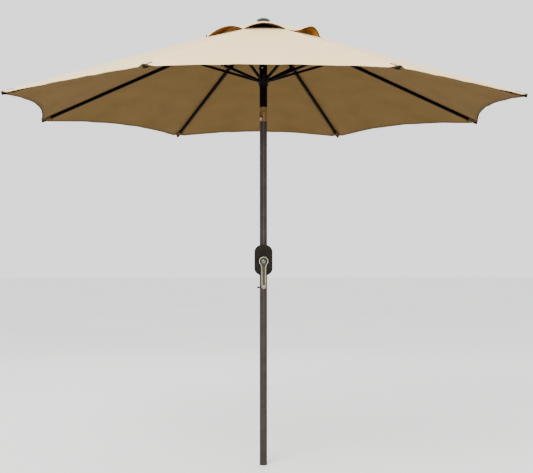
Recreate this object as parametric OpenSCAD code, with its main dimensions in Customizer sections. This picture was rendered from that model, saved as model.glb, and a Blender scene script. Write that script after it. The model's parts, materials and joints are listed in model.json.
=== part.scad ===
// Market umbrella with a two-piece pole, a crank lift, a push-button tilt joint
// and an eight-rib vented canopy.
// Millimetres. Z is up. The origin is the centre of the pole's lower end, which stands in a sleeve.
// The crank faces -Y. Ribs are numbered anticlockwise seen from above, the first one 22.5 degrees from +X.

/* [Pole] */
// Outer diameter of the pole tubes
pole_d = 38.1; // [36:0.1:46]
// Wall of the pole tubes
pole_wall = 1.2; // [1:0.1:2]
// Length of the lower pole, from its foot to the joint
lower_pole_l = 925; // [700:5:1150]
// Length of the upper half of the lower pole, from the joint to the tilt joint
middle_pole_l = 806; // [600:2:1000]
// Length of the upper pole, above the tilt joint
upper_pole_l = 406; // [330:2:520]
// Length of the swaged end that slides into the lower pole
spigot_l = 125; // [80:5:160]
// Height of the joint's thumb screw below the top of the lower pole
joint_screw_drop = 34; // [20:1:60]
// Diameter of the thumb screw's knob
joint_knob_d = 10; // [8:0.5:16]

/* [Crank housing] */
// Height of the crank's axle above the joint of the two pole tubes
crank_rise = 98; // [85:1:200]
// Width of the housing
housing_w = 90; // [80:1:110]
// Height of the housing
housing_h = 152; // [130:1:180]
// Radius of the housing's corners
housing_corner_r = 35; // [20:1:38]
// Depth of each half of the housing, from the pole's middle plane
housing_depth = 32; // [29:1:40]
// Wall of the housing
housing_wall = 2.5; // [2:0.1:4]
// How far the housing's centre is above the axle
housing_rise = 6; // [0:1:15]

/* [Crank] */
// Distance from the axle to the knob's spindle
crank_arm_l = 127; // [100:1:135]
// Diameter of the handle's bell-shaped hub
crank_hub_d = 48; // [40:1:56]
// Diameter of the drum's axle
axle_d = 8; // [6:0.5:10]
// Diameter of the handle's knob
crank_knob_d = 21; // [16:0.5:26]
// Length of the handle's knob
crank_knob_l = 26; // [20:1:36]
// Diameter of the lift cord
cord_d = 2.4; // [2:0.1:3]

/* [Tilt joint] */
// Compass direction that the canopy tilts towards, anticlockwise from +X
tilt_way = 45; // [0:5:50]
// Length of the joint's body above its pivot
tilt_head_l = 38; // [30:1:50]
// Thickness of the tongue between the ears
tongue_t = 20; // [16:0.5:22]
// Diameter of the tilt pivot pin
tilt_pin_d = 6; // [5:0.5:8]
// Width of the push button
button_w = 10; // [8:0.5:12]
// Height of the push button
button_h = 17; // [14:0.1:21]
// How far the push button stands proud, which is also its travel
button_travel = 2; // [1:0.1:2.2]

/* [Frame] */
// How far outside the pole's surface the pivots of the crown and the runner are
pivot_gap = 7.95; // [7.5:0.05:11]
// Angle of the open ribs below the horizontal
open_angle = 18.4; // [14:0.1:22]
// Distance along a rib from its crown pivot to its strut pivot, and also the length of a strut
strut_l = 418; // [340:1:510]
// Height of a rib's tube
rib_h = 15; // [13:0.5:18]
// Width of a rib's tube
rib_w = 11; // [10:0.5:13]
// Height of a strut's tube
strut_h = 12; // [10:0.5:12]
// Width of a strut's tube
strut_w = 9; // [8.5:0.5:10]
// Wall of the rib and strut tubes
rib_wall = 0.7; // [0.6:0.1:1.2]
// Diameter of the pivot pins
pin_d = 4; // [3:0.5:4.5]
// Thickness of the lugs that turn in the hubs
lug_t = 8; // [6:0.5:9]

/* [Canopy] */
// Radius of the canopy at its eight tips
tip_r = 1310; // [1080:2:1580]
// How far the canopy's tip pockets reach past the ends of the ribs
tip_reach = 10; // [6:1:20]
// How far each hem curves in between two tips
scallop = 65; // [20:1:90]
// Radius of the hole under the vent
vent_hole_r = 215; // [150:5:240]
// Radius of the vent cap
vent_r = 272; // [250:1:320]
// How far the vent cap arches up between two ribs
vent_arch = 26; // [10:1:40]
// Thickness of the cloth solids
cloth_t = 1.2; // [0.8:0.1:2]
// Diameter of the finial
finial_d = 70; // [50:1:90]
// Height of the finial's dome
finial_h = 16; // [10:1:30]

/* [Hidden] */
RIBS = 8;
STEP = 360 / RIBS;
HALF = STEP / 2;
$fn = 64;

// clearances
fit = 0.05;        // round a pin or shaft that turns
slip = 0.1;        // round a plug in a tube
side_gap = 0.3;    // beside a lug or a tongue
eps = 0.01;        // overlap that keeps cuts clean

// crown and runner sections
hub_half_h = 9;
hub_rim = 4.5;                                  // outside the pivots
lug_room = 5.5;                                 // inside the pivots
boss_r = 15;
boss_l = 37;                                    // above the crown's pivots
crown_skirt = 30;                               // below the crown's pivots
crown_socket = hub_half_h - 2;                  // depth that the pole goes into above the pivots
runner_top = 30;                                // above the runner's pivots
runner_foot = 27;                               // below the runner's pivots

// pole
pole_r = pole_d / 2;
pole_in_r = pole_r - pole_wall;
spigot_r = pole_in_r - slip;
spigot_shoulder = 4;                            // solid ring where the swaged end starts
joint_line = 1.5;                               // groove between the two tubes
plug_l = 25;                                    // foot plug
plug_lip = 3;
joint_screw_z = lower_pole_l - joint_screw_drop;
swage_z = joint_screw_z - 26;                   // where the lower tube's slimmer top end starts
swage_step = 0.25;                              // how much less its radius is there
joint_screw_r = 3;
joint_knob_l = 9;
joint_knob_gap = 3;

// tilt joint
tongue_r = 12;
ear_r = pole_r + 0.8;
shoulder = ear_r + 0.5;
socket_l = 35;                                  // length of each end that goes into a pole tube
button_pocket = 9;                              // depth of the button's pocket
button_floor = 3;                               // metal under the button
tilt_base_l = button_floor + button_h + 2 + 1 + tongue_r;
button_z = -tilt_base_l + button_floor + button_h / 2;      // below the pivot

// heights
middle_top_z = lower_pole_l + middle_pole_l;
tilt_z = middle_top_z + tilt_base_l;
upper_bottom_z = tilt_z + tilt_head_l;
upper_top_z = upper_bottom_z + upper_pole_l;
crown_z = upper_top_z - crown_socket;           // pivots of the ribs
runner_z = crown_z - 2 * strut_l * sin(open_angle);
boss_top_z = crown_z + boss_l;
crank_z = lower_pole_l + crank_rise;

// ribs and struts
pivot_r = pole_r + pivot_gap;
rib_end_r = tip_r - tip_reach;
rib_drop = rib_h / 2 + strut_h / 2 + 0.5;       // pivot line below the rib's axis
rib_l = (rib_end_r - pivot_r) / cos(open_angle);
rib_start = 15;                                 // tube starts this far from its crown pivot
hub_bore_r = pole_r + 0.6;
slot_in_r = pivot_r - lug_room;
hub_r = pivot_r + hub_rim;
pin_half_l = pivot_r * tan(HALF) - 1.9;
eye_r = 5.2;
strut_eye_r = strut_h / 2;
strut_lug_l = 20;
rivet_r = 1.5;
cheek_t = 1.4;
cheek_r = 7;
cheek_gap = rib_w / 2 + slip;

// housing and its screws
housing_z = crank_z + housing_rise;
front_y = -housing_depth;
screw_x = housing_w / 2 - 15;
screw_dz = housing_h / 2 - 28;
screw_r = 1.6;
screw_head_r = 3;
screw_tip_y = -17;
post_r = 4.5;
head_pocket = 3;
bush_wall = 2;
bush_r = axle_d / 2 + bush_wall;
bush_l = 7;
bush_seat = 2;                                  // housing wall behind the rear bush

// drum: as large as turns inside the pole
drum_w = 12.5;
flange_t = 2;
drum_gap = 1.33;
flange_r = sqrt(pow(pole_in_r, 2) - pow(drum_w / 2 + flange_t, 2)) - drum_gap;
drum_d = 2 * (flange_r - 3.5);

// crank handle
crank_hub_gap = 1;                              // between the housing and the hub
crank_plane_y = front_y - 16;                   // middle of the arm's thickness
crank_arm_t = 6;
crank_arm_w = 19;                               // at the knob
knob_spindle_r = 3;
knob_y = crank_plane_y - crank_arm_t / 2 - 0.4;

// cloth
cloth_gap = 1.5;                                // above the ribs
hub_cloth_gap = 1.8;                            // above the crown's boss

// lift cord and pulley
cord_r = cord_d / 2;
cord_gap = 0.1;
cord_lane = 7.5;                                // the cord passes beside the tilt pin
pulley_axle_r = 2;
pulley_groove_r = (pole_r + cord_r + 0.25 + cord_lane) / 2;   // the fall leaves just outside the pole
pulley_rim_r = pulley_groove_r + 1.6;
pulley_w = 6;
pulley_x = cord_lane - pulley_groove_r;
pulley_z = runner_z + runner_top + pulley_rim_r + 18.3;
drum_cord_x = drum_d / 2 + cord_gap + cord_r;
pulley_cord_r = pulley_groove_r + cord_gap + cord_r;            // of the cord's middle round the pulley
pulley_cord_x = pulley_x + pulley_cord_r;
cord_turn_z = tilt_z - 13;                      // below this the cord slants across to the drum

// ---- helpers ----

module tube(r, wall, z0, z1) {
    translate([0, 0, z0]) difference() {
        cylinder(r = r, h = z1 - z0);
        translate([0, 0, -eps]) cylinder(r = r - wall, h = z1 - z0 + 2 * eps);
    }
}

// A cylinder along Y, from y0 to y1, at height z
module along_y(r, y0, y1, x = 0, z = 0) {
    translate([x, y0, z]) rotate([-90, 0, 0]) cylinder(r = r, h = y1 - y0);
}

// A straight round bar between two points of the XZ plane
module bar_xz(a, b, r) {
    d = b - a;
    translate([a[0], 0, a[1]]) rotate([0, atan2(d[0], d[1]), 0]) cylinder(r = r, h = norm(d));
}

module turned_to_rib(k) {
    rotate([0, 0, HALF + STEP * (k - 1)]) children();
}

// The frame of a rib: X runs outwards along the line through its two pivots, Z is square to it
module in_rib() {
    translate([pivot_r, 0, crown_z]) rotate([0, open_angle, 0]) children();
}

// The frame of a strut: X runs outwards and up, from the runner's pivot to the rib's
module in_strut() {
    translate([pivot_r, 0, runner_z]) rotate([0, -open_angle, 0]) children();
}

module box_tube(l, w, h) {
    difference() {
        translate([0, -w / 2, -h / 2]) cube([l, w, h]);
        translate([-eps, -w / 2 + rib_wall, -h / 2 + rib_wall])
            cube([l + 2 * eps, w - 2 * rib_wall, h - 2 * rib_wall]);
    }
}

// Rounded rectangle, centred, with exact arcs
module rounded(w, h, r) {
    square([w - 2 * r, h], center = true);
    square([w, h - 2 * r], center = true);
    for (x = [-1, 1], y = [-1, 1]) translate([x * (w / 2 - r), y * (h / 2 - r)]) circle(r = r);
}

// ---- pole ----

module foot_plug() color("#141414") {
    translate([0, 0, -plug_lip]) cylinder(r = pole_r - 0.4, h = plug_lip);
    cylinder(r = spigot_r, h = plug_l);
}

module joint_screw_hole() {
    translate([-pole_r - 1, 0, joint_screw_z]) rotate([0, 90, 0])
        cylinder(r = joint_screw_r + fit, h = 2 * pole_wall + 6);
}

module lower_pole() color("#3E3433") difference() {
    union() {
        tube(pole_r, pole_wall, 0, swage_z);
        tube(pole_r - swage_step, pole_wall - swage_step, swage_z, lower_pole_l);
    }
    joint_screw_hole();
}

module middle_pole() color("#3E3433") difference() {
    union() {
        tube(pole_r, pole_wall, lower_pole_l + joint_line, middle_top_z);
        tube(spigot_r, pole_wall, lower_pole_l - spigot_l, lower_pole_l + spigot_shoulder);
        // shoulder, which leaves a fine groove round the joint
        tube(pole_r - 0.5, pole_wall + slip, lower_pole_l, lower_pole_l + spigot_shoulder);
    }
    joint_screw_hole();
    // the drum goes in through this window, behind the housing's front
    translate([0, -pole_r, crank_z])
        cube([2 * flange_r + 2, pole_r * 2 - 12, 2 * flange_r + 4], center = true);
    along_y(axle_d / 2 + 1, 0, pole_r + 5, 0, crank_z);
}

module joint_screw() color("#2A2A2C") {
    translate([-pole_r - joint_knob_gap, 0, joint_screw_z]) {
        rotate([0, 90, 0]) cylinder(r = joint_screw_r, h = joint_knob_gap + 2 * pole_wall + 3);
        rotate([0, -90, 0]) difference() {
            cylinder(d = joint_knob_d, h = joint_knob_l);
            for (a = [0:30:330]) rotate([0, 0, a]) translate([joint_knob_d / 2 + 0.6, 0, 1])
                cylinder(r = 1.2, h = joint_knob_l - 2, $fn = 16);
        }
    }
}

// ---- crank ----

// Half of the housing: side -1 is the front and side 1 the back
module housing_half(side) {
    module outline(inset) {
        rounded(housing_w - 2 * inset, housing_h - 2 * inset, housing_corner_r - inset);
    }
    // both halves are drawn from the middle plane outwards
    module half_space(inset, from, depth) {
        translate([0, side * from, housing_z]) rotate([90, 0, 0]) mirror([0, 0, side > 0 ? 1 : 0])
            linear_extrude(depth) outline(inset);
    }
    difference() {
        union() {
            difference() {
                half_space(0, 0.1, housing_depth - 0.1);
                half_space(housing_wall, 0, housing_depth - housing_wall);
            }
            for (x = [-1, 1], z = [-1, 1])
                along_y(post_r, side < 0 ? front_y + 1 : 0.1, side < 0 ? -0.1 : housing_depth - 1,
                    x * screw_x, housing_z + z * screw_dz);
            // collar that carries the axle's bush
            along_y(bush_r + 2.5, side < 0 ? front_y : housing_depth - bush_l - 1,
                side < 0 ? front_y + bush_l + 1 : housing_depth, 0, crank_z);
        }
        // way for the pole
        translate([0, 0, housing_z - housing_h]) cylinder(r = pole_r + slip, h = 2 * housing_h);
        for (x = [-1, 1], z = [-1, 1]) {
            along_y(screw_r + fit, side < 0 ? screw_tip_y - 1 : -1, housing_depth + 1,
                x * screw_x, housing_z + z * screw_dz);
            along_y(screw_head_r + 0.2, housing_depth - head_pocket, housing_depth + 1,
                x * screw_x, housing_z + z * screw_dz);
        }
        if (side < 0) along_y(bush_r, front_y - 1, front_y + bush_l + 2, 0, crank_z);
        if (side > 0)
            along_y(bush_r, housing_depth - bush_seat - bush_l, housing_depth - bush_seat, 0, crank_z);
    }
}

module housing_front() color("#201E15") housing_half(-1);

module housing_back() color("#201E15") housing_half(1);

module housing_screws() color("#4A4A4A") {
    for (x = [-1, 1], z = [-1, 1]) translate([x * screw_x, 0, housing_z + z * screw_dz]) {
        along_y(screw_r, screw_tip_y, housing_depth - head_pocket);
        difference() {
            along_y(screw_head_r, housing_depth - head_pocket, housing_depth - 0.8);
            along_y(1, housing_depth - 1.8, housing_depth);
        }
    }
}

module axle_bushes() color("#C9C4B5") {
    for (y = [front_y, housing_depth - bush_seat - bush_l]) difference() {
        along_y(bush_r - 0.02, y, y + bush_l, 0, crank_z);
        along_y(axle_d / 2 + fit, y - 1, y + bush_l + 1, 0, crank_z);
    }
}

// Wrap spring that holds the canopy's weight when the handle is let go
module clutch_spring() color("#8C8C88") {
    for (i = [0:3]) translate([0, front_y + bush_l + 3.5 + i * 1.8, crank_z]) rotate([90, 0, 0])
        rotate_extrude() translate([axle_d / 2 + 1.2, 0]) circle(r = 0.8, $fn = 24);
}

module crank_drum() color("#8C8C88") {
    along_y(drum_d / 2, -drum_w / 2, drum_w / 2, 0, crank_z);
    for (s = [-1, 1]) along_y(flange_r, s * (drum_w / 2 + flange_t / 2) - flange_t / 2,
        s * (drum_w / 2 + flange_t / 2) + flange_t / 2, 0, crank_z);
    along_y(axle_d / 2, crank_plane_y, housing_depth - 3, 0, crank_z);
}

module crank_handle() color("#B5A994") difference() {
    union() {
        // bell-shaped hub
        translate([0, front_y - crank_hub_gap, crank_z]) rotate([90, 0, 0]) rotate_extrude()
            polygon([[0, 0], [crank_hub_d / 2 - 3, 0], [crank_hub_d / 2, 2], [crank_hub_d / 2, 7],
                [crank_hub_d / 2 - 4, 12], [12, 17], [10, 20], [0, 21]]);
        // arm, wide at the hub and narrow at the knob
        translate([0, crank_plane_y - crank_arm_t / 2, crank_z]) rotate([-90, 0, 0])
            linear_extrude(crank_arm_t) {
                polygon([[-16, 0], [16, 0], [crank_arm_w / 2, crank_arm_l], [-crank_arm_w / 2, crank_arm_l]]);
                translate([0, crank_arm_l]) circle(d = crank_arm_w);
            }
    }
    // recess between the arm's raised edges
    translate([0, crank_plane_y - crank_arm_t / 2 - 1, crank_z]) rotate([-90, 0, 0]) linear_extrude(3)
        polygon([[-9.5, 26], [9.5, 26], [5.5, crank_arm_l - 14], [-5.5, crank_arm_l - 14]]);
    along_y(axle_d / 2 + 0.02, crank_plane_y - 0.5, 0, 0, crank_z);
    along_y(knob_spindle_r + 0.02, crank_plane_y - 10, 0, 0, crank_z - crank_arm_l);
}

module knob_rivet() color("#D9D6CC") {
    along_y(knob_spindle_r, knob_y - crank_knob_l - 0.3, crank_plane_y + crank_arm_t / 2 + 1, 0,
        crank_z - crank_arm_l);
    along_y(5, knob_y - crank_knob_l - 2, knob_y - crank_knob_l - 0.3, 0, crank_z - crank_arm_l);
}

module crank_knob() color("#C9C2B4") {
    r = crank_knob_d / 2;
    translate([0, knob_y, crank_z - crank_arm_l]) rotate([90, 0, 0]) rotate_extrude()
        polygon([[knob_spindle_r + fit, 0], [r - 3, 0], [r - 1, 2], [r - 1.6, crank_knob_l / 2],
            [r, crank_knob_l - 5], [r - 2, crank_knob_l - 1], [r - 4, crank_knob_l],
            [knob_spindle_r + fit, crank_knob_l]]);
}

// ---- tilt joint ----

module at_tilt() {
    translate([0, 0, tilt_z]) rotate([0, 0, tilt_way]) children();
}

// Hole that the lift cord passes through, down both ends of the joint
module cord_way() {
    translate([pulley_cord_x, 0, middle_top_z - socket_l - 1])
        cylinder(r = cord_r + 1.1, h = upper_bottom_z - middle_top_z + 2 * socket_l + 2);
}

// Oblong section of the push button, grown by a gap, along -X from x0 to x1
module button_bar(gap, x0, x1) {
    translate([-x1, 0, button_z]) rotate([0, 90, 0]) linear_extrude(x1 - x0)
        rounded(button_h + 2 * gap, button_w + 2 * gap, button_w / 2 + gap - eps);
}

module tilt_base() color("#6E5535") difference() {
    union() {
        // body with two ears, rounded about the pivot
        at_tilt() intersection() {
            translate([0, 0, -tilt_base_l]) cylinder(r = pole_r, h = tilt_base_l + ear_r + 1);
            rotate([90, 0, 0]) linear_extrude(2 * pole_d, center = true) {
                circle(r = ear_r);
                translate([-ear_r, -tilt_base_l]) square([2 * ear_r, tilt_base_l]);
            }
        }
        translate([0, 0, middle_top_z - socket_l]) cylinder(r = spigot_r, h = socket_l + 1);
    }
    at_tilt() {
        translate([-pole_r - 1, -tongue_t / 2 - side_gap, -tongue_r - 1])
            cube([2 * pole_r + 2, tongue_t + 2 * side_gap, 2 * ear_r + 2]);
        along_y(tilt_pin_d / 2 + fit, -pole_r - 1, pole_r + 1);
        button_bar(0.15, pole_r - button_pocket, pole_r + 4);
    }
    cord_way();
}

module tilt_head() color("#6E5535") difference() {
    union() {
        translate([0, 0, tilt_z + shoulder]) cylinder(r = pole_r, h = tilt_head_l - shoulder);
        translate([0, 0, upper_bottom_z - 1]) cylinder(r = spigot_r, h = socket_l + 1);
        at_tilt() intersection() {
            union() {
                along_y(tongue_r, -tongue_t / 2, tongue_t / 2);
                translate([-tongue_r, -tongue_t / 2, 0]) cube([2 * tongue_r, tongue_t, shoulder + 1]);
            }
            translate([0, 0, -tongue_r]) cylinder(r = pole_r - 1, h = tongue_r + shoulder + 1);
        }
    }
    at_tilt() along_y(tilt_pin_d / 2 + fit, -pole_r, pole_r);
    cord_way();
}

module tilt_pin() color("#8C8C88") at_tilt() along_y(tilt_pin_d / 2, -pole_r + 1.6, pole_r - 1.6);

module tilt_button() color("#C9C7C0") at_tilt() intersection() {
    button_bar(0, pole_r - button_pocket + 5, pole_r + button_travel);
    translate([0, 0, -tilt_base_l]) cylinder(r = pole_r + button_travel, h = tilt_base_l);
}

module tilt_spring() color("#8C8C88") at_tilt()
    for (i = [0:2]) translate([-(pole_r - button_pocket + 0.9 + i * 1.55), 0, button_z]) rotate([0, 90, 0])
        rotate_extrude() translate([3, 0]) circle(r = 0.6, $fn = 24);

// ---- upper pole and lift ----

module upper_pole() color("#120D0A") difference() {
    tube(pole_r, pole_wall, upper_bottom_z, upper_top_z);
    along_y(pulley_axle_r + fit, -pole_r - 1, pole_r + 1, pulley_x, pulley_z);
    translate([-pole_r - 1, -pulley_w / 2 - 0.6, pulley_z - pulley_rim_r - 1.5])
        cube([pole_r, pulley_w + 1.2, 2 * pulley_rim_r + 5]);
}

module pulley_axle() color("#D9D6CC") {
    reach = sqrt(pole_r * pole_r - pulley_x * pulley_x);
    along_y(pulley_axle_r, -reach - 1.6, reach + 1.6, pulley_x, pulley_z);
    for (s = [-1, 1]) translate([pulley_x, s * (reach + 1), pulley_z]) rotate([s * -90, 0, 0])
        cylinder(r1 = 3.6, r2 = 2, h = 1.6);
}

module pulley() color("#C9C4B5") translate([pulley_x, 0, pulley_z]) rotate([90, 0, 0]) rotate_extrude() {
    h = pulley_w / 2;
    polygon([[pulley_axle_r + fit, -h], [pulley_rim_r, -h], [pulley_rim_r, -h + 1],
        [pulley_groove_r, -cord_r * 0.6], [pulley_groove_r, cord_r * 0.6], [pulley_rim_r, h - 1],
        [pulley_rim_r, h], [pulley_axle_r + fit, h]]);
}

// Turns on the drum, and the run from its middle up to the tilt joint
module lift_cord_lower() color("#0F0E0D") {
    bar_xz([drum_cord_x, crank_z], [pulley_cord_x, cord_turn_z], cord_r);
    for (i = [-2, -1, 1, 2]) translate([0, i * (cord_d + 0.05), crank_z]) rotate([90, 0, 0])
        rotate_extrude() translate([drum_cord_x, 0]) circle(r = cord_r, $fn = 32);
}

module lift_cord_upper() color("#0F0E0D") {
    bottom_z = cord_turn_z + 4;
    translate([pulley_cord_x, 0, bottom_z]) cylinder(r = cord_r, h = pulley_z - bottom_z);
    translate([pulley_x, 0, pulley_z]) rotate([90, 0, 0])
        rotate_extrude(angle = 180) translate([pulley_cord_r, 0]) circle(r = cord_r, $fn = 32);
    fall_end_z = runner_z + runner_top + 0.3;
    translate([pulley_x - pulley_cord_r, 0, fall_end_z]) cylinder(r = cord_r, h = pulley_z - fall_end_z);
}

// ---- hubs ----

// Notched flange with a slot for each lug and a hole across it for each pivot pin
module notches(z) {
    for (k = [1:RIBS]) turned_to_rib(k) {
        translate([slot_in_r, -lug_t / 2 - side_gap, z - hub_half_h - 1])
            cube([hub_r, lug_t + 2 * side_gap, 2 * hub_half_h + 2]);
        along_y(pin_d / 2 + fit, -pin_half_l - 0.3, pin_half_l + 0.3, pivot_r, z);
    }
}

module pins(z) {
    for (k = [1:RIBS]) turned_to_rib(k) along_y(pin_d / 2, -pin_half_l, pin_half_l, pivot_r, z);
}

module crown() color("#0F0C0A") difference() {
    union() {
        translate([0, 0, crown_z - hub_half_h]) cylinder(r = hub_r, h = 2 * hub_half_h);
        translate([0, 0, crown_z - crown_skirt]) cylinder(r = pole_r + 2.4, h = crown_skirt);
        translate([0, 0, crown_z + hub_half_h - 1]) cylinder(r1 = pole_r + 1.5, r2 = boss_r, h = 12);
        translate([0, 0, crown_z]) cylinder(r = boss_r, h = boss_top_z - crown_z);
    }
    notches(crown_z);
    translate([0, 0, crown_z - crown_skirt - 1])
        cylinder(r = pole_r + fit, h = crown_skirt + 1 + crown_socket);
    translate([0, 0, crown_z]) cylinder(r = 3.1, h = boss_top_z);
}

module crown_pins() color("#8C8C88") pins(crown_z);

module finial() color("#4A4C50") {
    translate([0, 0, boss_top_z + cloth_t + 2]) rotate_extrude()
        polygon([[0, 0], [finial_d / 2 - 1.5, 0], [finial_d / 2, 2], [finial_d / 2 - 1, 0.3 * finial_h],
            [finial_d / 2 - 5, 0.56 * finial_h], [finial_d / 2 - 13, 0.81 * finial_h],
            [10, finial_h - 0.6], [0, finial_h]]);
    translate([0, 0, boss_top_z - 20]) cylinder(r = 3, h = 22 + cloth_t);
}

module runner() color("#0F0C0A") difference() {
    union() {
        translate([0, 0, runner_z - hub_half_h]) cylinder(r = hub_r, h = 2 * hub_half_h);
        translate([0, 0, runner_z - runner_foot]) cylinder(r = pole_r + 4.2, h = runner_foot);
        translate([0, 0, runner_z - runner_foot]) cylinder(r = pole_r + 7, h = 4);
        translate([0, 0, runner_z]) cylinder(r = hub_bore_r + 2.2, h = runner_top);
    }
    notches(runner_z);
    translate([0, 0, runner_z - runner_foot - 1]) cylinder(r = hub_bore_r, h = runner_foot + runner_top + 2);
    // inner groove that passes over the push button
    rotate([0, 0, tilt_way + 180]) translate([0, -button_w / 2 - 1, runner_z - runner_foot - 1])
        cube([pole_r + button_travel + 0.3, button_w + 2, runner_foot + runner_top + 2]);
}

module runner_pins() color("#8C8C88") pins(runner_z);

// ---- ribs and struts ----

module rib() color("#0F0C0A") in_rib() translate([rib_start, 0, rib_drop]) difference() {
    box_tube(rib_l - rib_start, rib_w, rib_h);
    along_y(rivet_r + fit, -rib_w, rib_w, strut_l - rib_start);
}

// End lug, strut bracket with its two rivets, and tip plug
module rib_fittings() color("#0F0C0A") in_rib() {
    // lug that turns in the crown
    difference() {
        union() {
            along_y(eye_r, -lug_t / 2, lug_t / 2);
            translate([0, -lug_t / 2, 0]) cube([rib_start + 4, lug_t, rib_drop + rib_h / 2 - rib_wall - slip]);
            translate([rib_start - 3, -rib_w / 2 + rib_wall + slip, rib_drop - rib_h / 2 + rib_wall + slip])
                cube([32, rib_w - 2 * rib_wall - 2 * slip, rib_h - 2 * rib_wall - 2 * slip]);
        }
        along_y(pin_d / 2 + fit, -lug_t, lug_t);
        // the lug's plate stops short of the tube's lower wall
        translate([rib_start - 0.2, -rib_w, -eye_r - 1])
            cube([20, 2 * rib_w, rib_drop - rib_h / 2 + rib_wall + slip + eye_r + 1]);
    }
    // bracket: two cheeks, riveted to the tube and to the strut
    for (s = [-1, 1]) difference() {
        translate([strut_l, s * (cheek_gap + cheek_t / 2), 0]) rotate([90, 0, 0])
            linear_extrude(cheek_t, center = true) {
                circle(r = cheek_r);
                translate([0, rib_drop]) square([4 * cheek_r, rib_h - 4], center = true);
                polygon([[-cheek_r, 0], [cheek_r, 0], [2 * cheek_r, rib_drop], [-2 * cheek_r, rib_drop]]);
            }
        along_y(pin_d / 2 + fit, -rib_w, rib_w, strut_l, 0);
        along_y(rivet_r + fit, -rib_w, rib_w, strut_l, rib_drop);
    }
    half_w = cheek_gap + cheek_t;
    along_y(pin_d / 2, -half_w - 1, half_w + 1, strut_l, 0);
    along_y(rivet_r, -half_w - 1, half_w + 1, strut_l, rib_drop);
    // tip plug
    translate([rib_l - 25, 0, rib_drop]) {
        translate([0, -rib_w / 2 + rib_wall + slip, -rib_h / 2 + rib_wall + slip])
            cube([25, rib_w - 2 * rib_wall - 2 * slip, rib_h - 2 * rib_wall - 2 * slip]);
        translate([25, -rib_w / 2, -rib_h / 2]) cube([3, rib_w, rib_h]);
    }
}

module strut() color("#0F0C0A") in_strut() difference() {
    union() {
        along_y(eye_r, -lug_t / 2, lug_t / 2);
        translate([0, -lug_t / 2, -eye_r + 0.4]) cube([strut_lug_l + 4, lug_t, 2 * eye_r - 0.8]);
        translate([strut_lug_l, 0, 0]) box_tube(strut_l - strut_lug_l - 16, strut_w, strut_h);
        translate([strut_l - strut_lug_l, -lug_t / 2, -strut_eye_r + 0.8])
            cube([strut_lug_l, lug_t, 2 * strut_eye_r - 1.6]);
        along_y(strut_eye_r, -lug_t / 2, lug_t / 2, strut_l);
    }
    for (x = [0, strut_l]) along_y(pin_d / 2 + fit, -10, 10, x);
}

// ---- canopy ----

// Height of the underside of the stretched cloth over a rib, at radius r
function ridge_z(r) = crown_z + (rib_drop + rib_h / 2 + cloth_gap) / cos(open_angle)
    - (r - pivot_r) * tan(open_angle);

// A point of a flat panel: r is the radius of the rib point at its height, a is the angle from the rib
function panel_point(r, a, z) =
    let (rho = r * cos(HALF) / cos(HALF - abs(a)), side = a / HALF * 0.25)
    [rho * cos(a) + abs(side) * sin(HALF), rho * sin(a) - side * cos(HALF), z];

// 1 over a rib and 0 midway between two
function nearness(a) = tan(HALF - abs(a)) / tan(HALF);
function hem_r(a) = tip_r - scallop * (1 - pow(nearness(a), 2)) / cos(HALF);

// Closed sheet between two grids of points, rows by columns
module sheet(under, over) {
    rows = len(under);
    cols = len(under[0]);
    n = rows * cols;
    points = concat([for (row = under) for (p = row) p], [for (row = over) for (p = row) p]);
    function at(layer, i, j) = layer * n + i * cols + j;
    grid = [for (i = [0:rows - 2], j = [0:cols - 2]) each [
        [at(0, i, j), at(0, i, j + 1), at(0, i + 1, j + 1)],
        [at(0, i, j), at(0, i + 1, j + 1), at(0, i + 1, j)],
        [at(1, i, j), at(1, i + 1, j + 1), at(1, i, j + 1)],
        [at(1, i, j), at(1, i + 1, j), at(1, i + 1, j + 1)]]];
    ends = [for (j = [0:cols - 2]) each [
        [at(0, 0, j), at(1, 0, j), at(1, 0, j + 1), at(0, 0, j + 1)],
        [at(0, rows - 1, j), at(0, rows - 1, j + 1), at(1, rows - 1, j + 1), at(1, rows - 1, j)]]];
    sides = [for (i = [0:rows - 2]) each [
        [at(0, i, 0), at(0, i + 1, 0), at(1, i + 1, 0), at(1, i, 0)],
        [at(0, i, cols - 1), at(1, i, cols - 1), at(1, i + 1, cols - 1), at(0, i + 1, cols - 1)]]];
    polyhedron(points, concat(grid, ends, sides));
}

sheet_rows = 5;
angles = [for (i = [-4:4]) i * HALF / 4];

module main_sector() {
    function r_at(i, a) = vent_hole_r + (hem_r(a) - vent_hole_r) * i / sheet_rows;
    function layer(lift) = [for (i = [0:sheet_rows])
        [for (a = angles) panel_point(r_at(i, a), a, ridge_z(r_at(i, a)) + lift)]];
    sheet(layer(0), layer(cloth_t));
}

module vent_sector() {
    in_r = 12;
    edge_z = ridge_z(vent_r) + cloth_t + 1;
    function r_at(i) = in_r + (vent_r - in_r) * i / sheet_rows;
    function z_at(i, a) = boss_top_z + hub_cloth_gap + (edge_z - boss_top_z) * i / sheet_rows
        + vent_arch * pow(i / sheet_rows, 2) * (1 - pow(nearness(a), 2));
    function layer(lift) = [for (i = [0:sheet_rows])
        [for (a = angles) panel_point(r_at(i), a, z_at(i, a) + lift)]];
    sheet(layer(0), layer(cloth_t));
}

module canopy() color("#DFD4C0") {
    main_sector();
    vent_sector();
}

// ---- nodes ----

foot_plug();
lower_pole();
middle_pole();
joint_screw();
housing_front();
housing_back();
housing_screws();
axle_bushes();
clutch_spring();
crank_drum();
crank_handle();
knob_rivet();
crank_knob();
tilt_base();
tilt_pin();
tilt_head();
tilt_button();
tilt_spring();
upper_pole();
pulley_axle();
pulley();
lift_cord_lower();
lift_cord_upper();
crown();
crown_pins();
finial();
runner();
runner_pins();
for (k = [1:RIBS]) {
    turned_to_rib(k) rib();
    turned_to_rib(k) rib_fittings();
    turned_to_rib(k) strut();
    turned_to_rib(k) canopy();
}
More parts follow.
